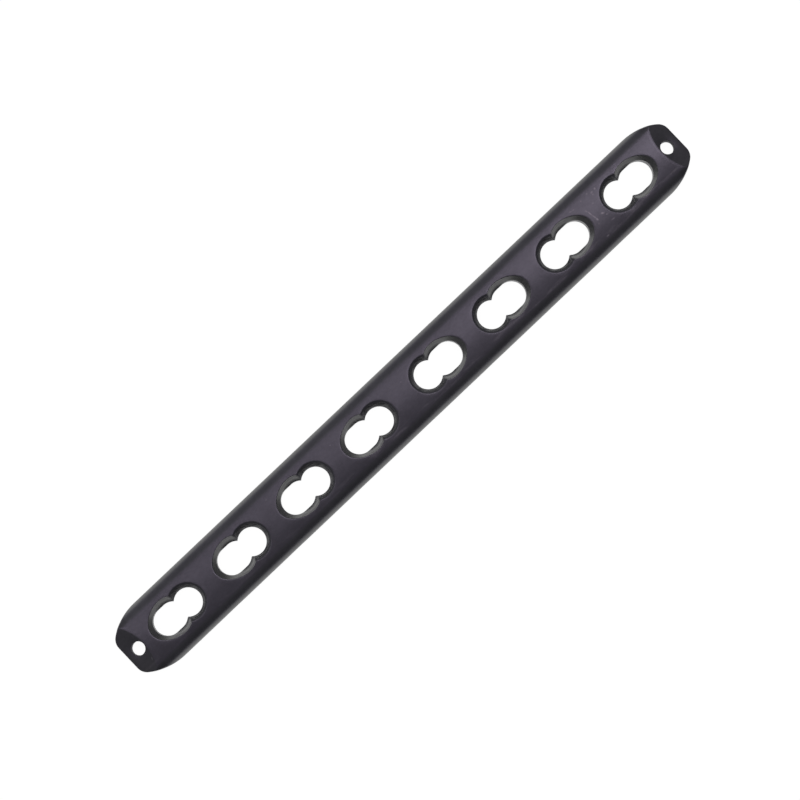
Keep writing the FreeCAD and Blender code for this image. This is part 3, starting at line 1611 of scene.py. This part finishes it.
@dataclass(frozen=True)
class AnodisedTitanium:
    """Satin dark titanium: faint violet on the back, greyer on slopes and in the holes, with
    painted highlights on the outer sides and +Y seats and painted shade in the holes.

    Args:
        back: Colour of the back and of the flat underside.
        slope: Colour of the shoulders.
        facet: Colour of the nose facets.
        side: Colour of the steep outer sides, greyer and lighter than the back; the extra lightness
            is a painted highlight along the plate's edges.
        seat: Colour of the ball seats in the holes where they face towards -Y.
        seat_highlight: Their lighter colour where they face towards +Y, a painted highlight where
            the light falls on them.
        shaded_bore: Colour of the upright hole walls and of their thread, darker than the back as
            painted shade in the holes.
        rubbed: Pale tint of the scuffs.
        edge: Share of the reflection that threaded walls keep at a grazing look, dimmed there as
            painted shade in the holes.
        back_level: How level faces are, from 0 to 1, where the shoulders turn into the back.
        gentle_level: How level they are where steep faces turn into gentle ones.
        seat_level: How level they are where upright hole walls turn into seats.
        seat_highlight_turn: How far they face towards +Y where the painted highlight on the seats
            comes in.
        facet_start: Places along the plate, in metres, between which the facets start.
        holes_end: Distances from the centre line between which holes give way to sides.
        cell_start: Place along the plate of the first locking end's inner edge.
        cell_pitch: Distance from one hole to the next.
        slot_start: Distances from a locking end's inner edge between which its slot starts.
        nose: Places along the plate between which the last hole gives way to the wire hole.
        cloud: Broad noise in the tint and the gloss.
        speck: Fine noise in the tint.
        shading: Range of both and the brightness that it gives the tint.
        grain: Fine lines along the plate that the polish left.
        rings: Rings that the tools left in the holes.
        ring_share: How deep the rings are beside the grain.
        relief_strength: Strength of both in the surface's bump.
        relief_depth: Depth of both in metres.
        roughness: How far the surface spreads its reflections.
        roughness_drift: Range of the broad noise and what it adds to the roughness.
        steep_roughness: What steep faces add to it.
        scuff_roughness: What scuffs add to it.
        worn: Fine noise that breaks up the scuffs.
        worn_share: Range of that noise and how much of a scuff it leaves.
        scuff_height: Heights between which scuffs appear, so that only the back has them.
        band: The rubbed band along the lower shoulder.
        scuffs: The rub marks on the back, most of them between the outer two holes on the right.
    """

    back: Tint = (0.0803, 0.0747, 0.0953, 1.0)
    slope: Tint = (0.085, 0.083, 0.097, 1.0)
    facet: Tint = (0.072, 0.070, 0.081, 1.0)
    side: Tint = (0.130, 0.129, 0.132, 1.0)
    seat: Tint = (0.138, 0.138, 0.139, 1.0)
    seat_highlight: Tint = (0.205, 0.205, 0.206, 1.0)
    shaded_bore: Tint = (0.060, 0.059, 0.063, 1.0)
    rubbed: Tint = (0.31, 0.28, 0.33, 1.0)
    edge: Tint = (0.38, 0.38, 0.39, 1.0)
    back_level: Span = (0.96, 0.986)
    gentle_level: Span = (0.55, 0.78)
    seat_level: Span = (0.3, 0.5)
    seat_highlight_turn: Span = (0.1, 0.6)
    facet_start: Span = (0.0522, 0.0528)
    holes_end: Span = (0.0043, 0.0047)
    cell_start: float = 0.002
    cell_pitch: float = 0.013
    slot_start: Span = (0.0043, 0.0047)
    nose: Span = (0.0516, 0.0520, 1.0, 0.0)
    cloud: Noise = Noise((240.0, 420.0, 300.0), 3.0)
    speck: Noise = Noise((1700.0, 2300.0, 2000.0), 2.0)
    shading: Span = (0.25, 0.75, 0.95, 1.05)
    grain: Noise = Noise((500.0, 11000.0, 11000.0), 3.0)
    rings: Noise = Noise((250.0, 250.0, 8000.0), 1.0)
    ring_share: float = 0.5
    relief_strength: float = 0.25
    relief_depth: float = 0.00002
    roughness: float = 0.35
    roughness_drift: Span = (0.2, 0.8, -0.03, 0.03)
    steep_roughness: float = 0.05
    scuff_roughness: float = 0.1
    worn: Noise = Noise((2600.0, 2600.0, 2600.0), 2.0)
    worn_share: Span = (0.3, 0.6, 0.45, 1.0)
    scuff_height: Span = (0.0022, 0.0026)
    band: RubbedBand = RubbedBand()
    scuffs: tuple[Scuff, ...] = (
        Scuff(38.52, 1.39, 0.32, 0.15, -72.0, 0.3),
        Scuff(38.70, 0.73, 0.62, 0.14, -81.0, 0.38),
        Scuff(38.83, -0.07, 0.55, 0.15, -80.0, 0.4),
        Scuff(38.91, -0.61, 0.36, 0.2, -85.0, 0.42),
        Scuff(40.12, -0.49, 0.4, 0.22, -30.0, 0.45),
        Scuff(40.52, -1.05, 0.28, 0.18, 0.0, 0.3),
        Scuff(40.70, -2.18, 0.5, 0.14, -6.0, 0.36),
        Scuff(38.42, -3.45, 0.38, 0.18, 0.0, 0.45),
        Scuff(36.80, 2.92, 0.34, 0.16, -24.0, 0.3),
        Scuff(37.30, 2.85, 0.4, 0.13, 0.0, 0.22),
        Scuff(39.00, 3.02, 0.2, 0.17, 0.0, 0.18),
        Scuff(40.40, 3.19, 0.2, 0.16, 20.0, 0.24),
        Scuff(41.05, 2.87, 0.42, 0.22, 14.0, 0.2),
        Scuff(41.00, 2.52, 0.24, 0.16, 0.0, 0.18),
        Scuff(41.77, 2.97, 0.26, 0.2, 40.0, 0.34),
        Scuff(40.05, 1.57, 0.26, 0.2, 0.0, 0.14),
        Scuff(38.65, -1.23, 0.28, 0.2, 0.0, 0.12),
        Scuff(-12.80, 2.30, 0.18, 0.14, 0.0, 0.2),
        Scuff(-25.20, 2.95, 0.2, 0.14, 15.0, 0.16),
        Scuff(1.20, 1.90, 0.2, 0.14, 5.0, 0.12),
        Scuff(-53.40, -2.45, 0.4, 0.16, 65.0, 0.2),
    )

    def marks(self, sheet: NodeSheet, place: Any) -> bpy.types.NodeSocket:
        """Draw the scuffs and the rubbed band.

        Args:
            sheet: The finish's node sheet.
            place: Socket of the place on the object, in metres.

        Returns:
            The socket of how much of the pale tint shows.
        """
        marks = self.band.mask(sheet, place)
        for scuff in self.scuffs:
            marks = sheet.maths("MAXIMUM", marks, scuff.mask(sheet, place))
        worn = sheet.ramp(sheet.noise(place, self.worn), *self.worn_share)
        return sheet.product(marks, worn, sheet.ramp(sheet.part(place, "Z"), *self.scuff_height))

    def tint(
        self, sheet: NodeSheet, along: Any, facing: Any, level: Any, outside: Any
    ) -> bpy.types.NodeSocket:
        """Colour by slope and place, before scuffs and shading; lighter outer sides and +Y seats
        are painted highlights, darker hole walls painted shade.

        Args:
            sheet: The finish's node sheet.
            along: Socket of the distance from the plate's middle along it.
            facing: Socket of how far the surface faces towards +Y.
            level: Socket that is 1 on level faces and 0 on upright ones.
            outside: Socket that is 1 on the outer sides and 0 in the holes.

        Returns:
            The socket of the colour.
        """
        # Seats that face +Y get a lighter colour: a painted highlight.
        seat = sheet.blend(sheet.ramp(facing, *self.seat_highlight_turn), self.seat, self.seat_highlight)
        # Upright hole walls get a darker colour: painted shade in the holes.
        in_hole = sheet.blend(sheet.ramp(level, *self.seat_level), self.shaded_bore, seat)
        # Steep outer sides get a lighter grey: a painted highlight along the edges.
        steep = sheet.blend(outside, in_hole, self.side)
        slope = sheet.blend(sheet.ramp(along, *self.facet_start), self.slope, self.facet)
        body = sheet.blend(sheet.ramp(level, *self.back_level), slope, self.back)
        return sheet.blend(sheet.ramp(level, *self.gentle_level), steep, body)

    def grazing_shade_tint(self, sheet: NodeSheet, along: Any, outside: Any) -> bpy.types.NodeSocket:
        """Reflection at a grazing look, dimmed only in the threads and the wire holes as painted
        shade.

        Args:
            sheet: The finish's node sheet.
            along: Socket of the distance from the plate's middle along it.
            outside: Socket that is 1 on the outer sides and 0 in the holes.

        Returns:
            The socket of the grazing reflection's tint.
        """
        run = sheet.maths("SUBTRACT", along, self.cell_start)
        slot = sheet.ramp(sheet.maths("MODULO", run, self.cell_pitch), *self.slot_start)
        slot = sheet.product(slot, sheet.ramp(along, *self.nose))
        # Grazing reflection dimmed in the threaded ends and wire holes: painted shade.
        return sheet.blend(sheet.maths("MAXIMUM", outside, slot), self.edge, WHITE)

    def material(self) -> bpy.types.Material:
        """Make the finish as a material.

        Returns:
            A metal with a fine grain along the plate, tool rings in its holes and scuffs.
        """
        sheet = NodeSheet("anodised_titanium")
        place = sheet.add("TexCoord").outputs["Object"]
        normal = sheet.add("NewGeometry").outputs["Normal"]
        level, along = sheet.distance(normal, "Z"), sheet.distance(place, "X")
        outside = sheet.ramp(sheet.distance(place, "Y"), *self.holes_end)
        gentle = sheet.ramp(level, *self.gentle_level)
        steep = sheet.maths("SUBTRACT", 1.0, gentle)
        cloud = sheet.noise(place, self.cloud)
        marks = self.marks(sheet, place)
        shade = sheet.product(
            sheet.ramp(cloud, *self.shading),
            sheet.ramp(sheet.noise(place, self.speck), *self.shading),
        )
        shade = sheet.add("CombineXYZ", X=shade, Y=shade, Z=shade).outputs["Vector"]
        colour = self.tint(sheet, along, sheet.part(normal, "Y"), level, outside)
        colour = sheet.blend(1.0, colour, shade, "MULTIPLY")
        colour = sheet.blend(marks, colour, self.rubbed)
        spread = sheet.total(
            self.roughness,
            sheet.ramp(cloud, *self.roughness_drift),
            sheet.product(steep, self.steep_roughness),
            sheet.product(marks, self.scuff_roughness),
        )
        relief = sheet.total(
            sheet.product(sheet.noise(place, self.rings), steep, self.ring_share),
            sheet.product(sheet.noise(place, self.grain), gentle),
        )
        bump = sheet.add(
            "Bump", Strength=self.relief_strength, Distance=self.relief_depth, Height=relief
        )
        shader = sheet.add(
            "BsdfPrincipled",
            Base_Color=colour,
            Metallic=1.0,
            Roughness=spread,
            Specular_Tint=self.grazing_shade_tint(sheet, along, outside),
            Normal=bump.outputs["Normal"],
        )
        return sheet.finish(shader)


@dataclass(frozen=True)
class PaleTable:
    """White table that the plate lies on.

    Args:
        paint: Colour of its matt surface, which takes the plate's soft shadow.
        white: How much of it shows as plain white to the eye and in shiny metal.
        strength: Strength of that white, which makes up for the darker matt share.
        size: Length of its sides.
        drop: How far it lies under the pads, so that their faces don't coincide.
    """

    paint: Tint = (0.8, 0.8, 0.8, 1.0)
    white: float = 0.88
    strength: float = 1.108
    size: float = 3.0
    drop: float = 0.00001

    def material(self) -> bpy.types.Material:
        """Mix the table's white, which camera, glossy and transmission rays see.

        Returns:
            The material.
        """
        sheet = NodeSheet("white_table")
        rays = sheet.add("LightPath").outputs
        seen = sheet.maths("MAXIMUM", rays["Is Camera Ray"], rays["Is Glossy Ray"])
        seen = sheet.maths("MAXIMUM", seen, rays["Is Transmission Ray"])
        blend = sheet.add("MixShader", Fac=sheet.product(seen, self.white))
        paint = sheet.add("BsdfDiffuse", Color=self.paint)
        light = sheet.add("Emission", Strength=self.strength)
        sheet.fill(blend.inputs[1], paint.outputs["BSDF"])
        sheet.fill(blend.inputs[2], light.outputs["Emission"])
        return sheet.finish(blend)

    def build(self) -> bpy.types.Object:
        """Lay the table under the plate.

        Returns:
            The table.
        """
        half = self.size / 2
        mesh = bpy.data.meshes.new("white_table")
        corners = [(-half, -half, 0), (half, -half, 0), (half, half, 0), (-half, half, 0)]
        mesh.from_pydata(corners, [], [(0, 1, 2, 3)])
        table = bpy.data.objects.new("white_table", mesh)
        table.location.z = -self.drop
        bpy.context.scene.collection.objects.link(table)
        table.data.materials.append(self.material())
        return table


@dataclass(frozen=True)
class Softbox:
    """Rectangular soft lamp that hangs level above the table.

    Args:
        name: Its name.
        place: Its middle, in metres.
        size: Its length along X and along Y.
        power: Its power in watts.
        colour: Colour of its light.
    """

    name: str
    place: Place
    size: tuple[float, float]
    power: float
    colour: Place = (1.0, 0.945, 0.945)

    def build(self) -> bpy.types.Object:
        """Hang the lamp.

        Returns:
            The hung lamp.
        """
        lamp = bpy.data.lights.new(self.name, "AREA")
        lamp.shape = "RECTANGLE"
        lamp.size, lamp.size_y = self.size
        lamp.energy = self.power
        lamp.color = self.colour
        hung = bpy.data.objects.new(self.name, lamp)
        hung.location = self.place
        bpy.context.scene.collection.objects.link(hung)
        return hung


@dataclass(frozen=True)
class Studio:
    """Soft light from above and a pale surround, a little brighter on the side towards +Y.

    Args:
        surround: Strength of the surround at right angles to Y.
        lean: How much stronger it is straight towards +Y.
        softboxes: The lamps.
    """

    surround: float = 0.347
    lean: float = 0.158
    softboxes: tuple[Softbox, ...] = (
        Softbox("key_softbox", (0.777, 0.495, 3.0), (0.672, 1.218), 12.6),
        Softbox("fill_softbox", (-0.906, 0.942, 3.0), (0.852, 0.474), 4.9),
    )

    def build(self) -> None:
        """Light the scene."""
        for lamp in self.softboxes:
            lamp.build()
        world = bpy.data.worlds.new("pale_surround")
        world.use_nodes = True
        tree = world.node_tree
        direction = tree.nodes.new("ShaderNodeTexCoord").outputs["Generated"]
        parts = tree.nodes.new("ShaderNodeSeparateXYZ")
        strength = tree.nodes.new("ShaderNodeMath")
        strength.operation = "MULTIPLY_ADD"
        strength.inputs[1].default_value = self.lean
        strength.inputs[2].default_value = self.surround
        backdrop = tree.nodes["Background"]
        backdrop.inputs["Color"].default_value = WHITE
        tree.links.new(direction, parts.inputs["Vector"])
        tree.links.new(parts.outputs["Y"], strength.inputs[0])
        tree.links.new(strength.outputs["Value"], backdrop.inputs["Strength"])
        bpy.context.scene.world = world
        bpy.context.scene.view_settings.view_transform = "Standard"


@dataclass(frozen=True)
class Viewpoint:
    """Camera high above the plate, turned so that the plate lies across the picture.

    Args:
        distance: How far it stands from what it aims at, in metres.
        lean: Angle in degrees by which it leans about the plate's length.
        tilt: Angle in degrees by which it leans about the plate's width.
        aim: The place that it aims at.
        turn: Angle in degrees by which the plate is turned in the picture.
        lens: Its focal length in millimetres.
        sensor: Width of its sensor in millimetres.
        nearest: Distance at which it starts to see.
        farthest: Distance up to which it sees.
    """

    distance: float = 0.480
    lean: float = 2.0
    tilt: float = -1.671
    aim: Place = (-0.000708, 0.000049, 0.0033)
    turn: float = 43.511
    lens: float = 146.28
    sensor: float = 36.0
    nearest: float = 0.01
    farthest: float = 10.0

    def build(self) -> bpy.types.Object:
        """Set up the camera and make it the scene's own.

        Returns:
            The camera.
        """
        data = bpy.data.cameras.new("overhead_camera")
        data.lens = self.lens
        data.sensor_width = self.sensor
        data.clip_start = self.nearest
        data.clip_end = self.farthest
        camera = bpy.data.objects.new("overhead_camera", data)
        turn = Matrix.Rotation(math.radians(-self.turn), 4, "Z")
        lean = Matrix.Rotation(math.radians(self.lean), 4, "X")
        tilt = Matrix.Rotation(math.radians(self.tilt), 4, "Y")
        out = Matrix.Translation((0, 0, self.distance))
        camera.matrix_world = Matrix.Translation(self.aim) @ tilt @ lean @ turn @ out
        bpy.context.scene.collection.objects.link(camera)
        bpy.context.scene.camera = camera
        return camera


def main() -> None:
    """Build the scene in order and report the plate's faces."""
    logging.basicConfig(level=logging.INFO, format="%(message)s")
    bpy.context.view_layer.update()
    Viewpoint().build()
    Studio().build()
    PaleTable().build()
    plate = BonePlate().build(AnodisedTitanium())
    LOG.info("%s: %d faces", plate.name, len(plate.data.polygons))


if __name__ == "__main__":
    main()
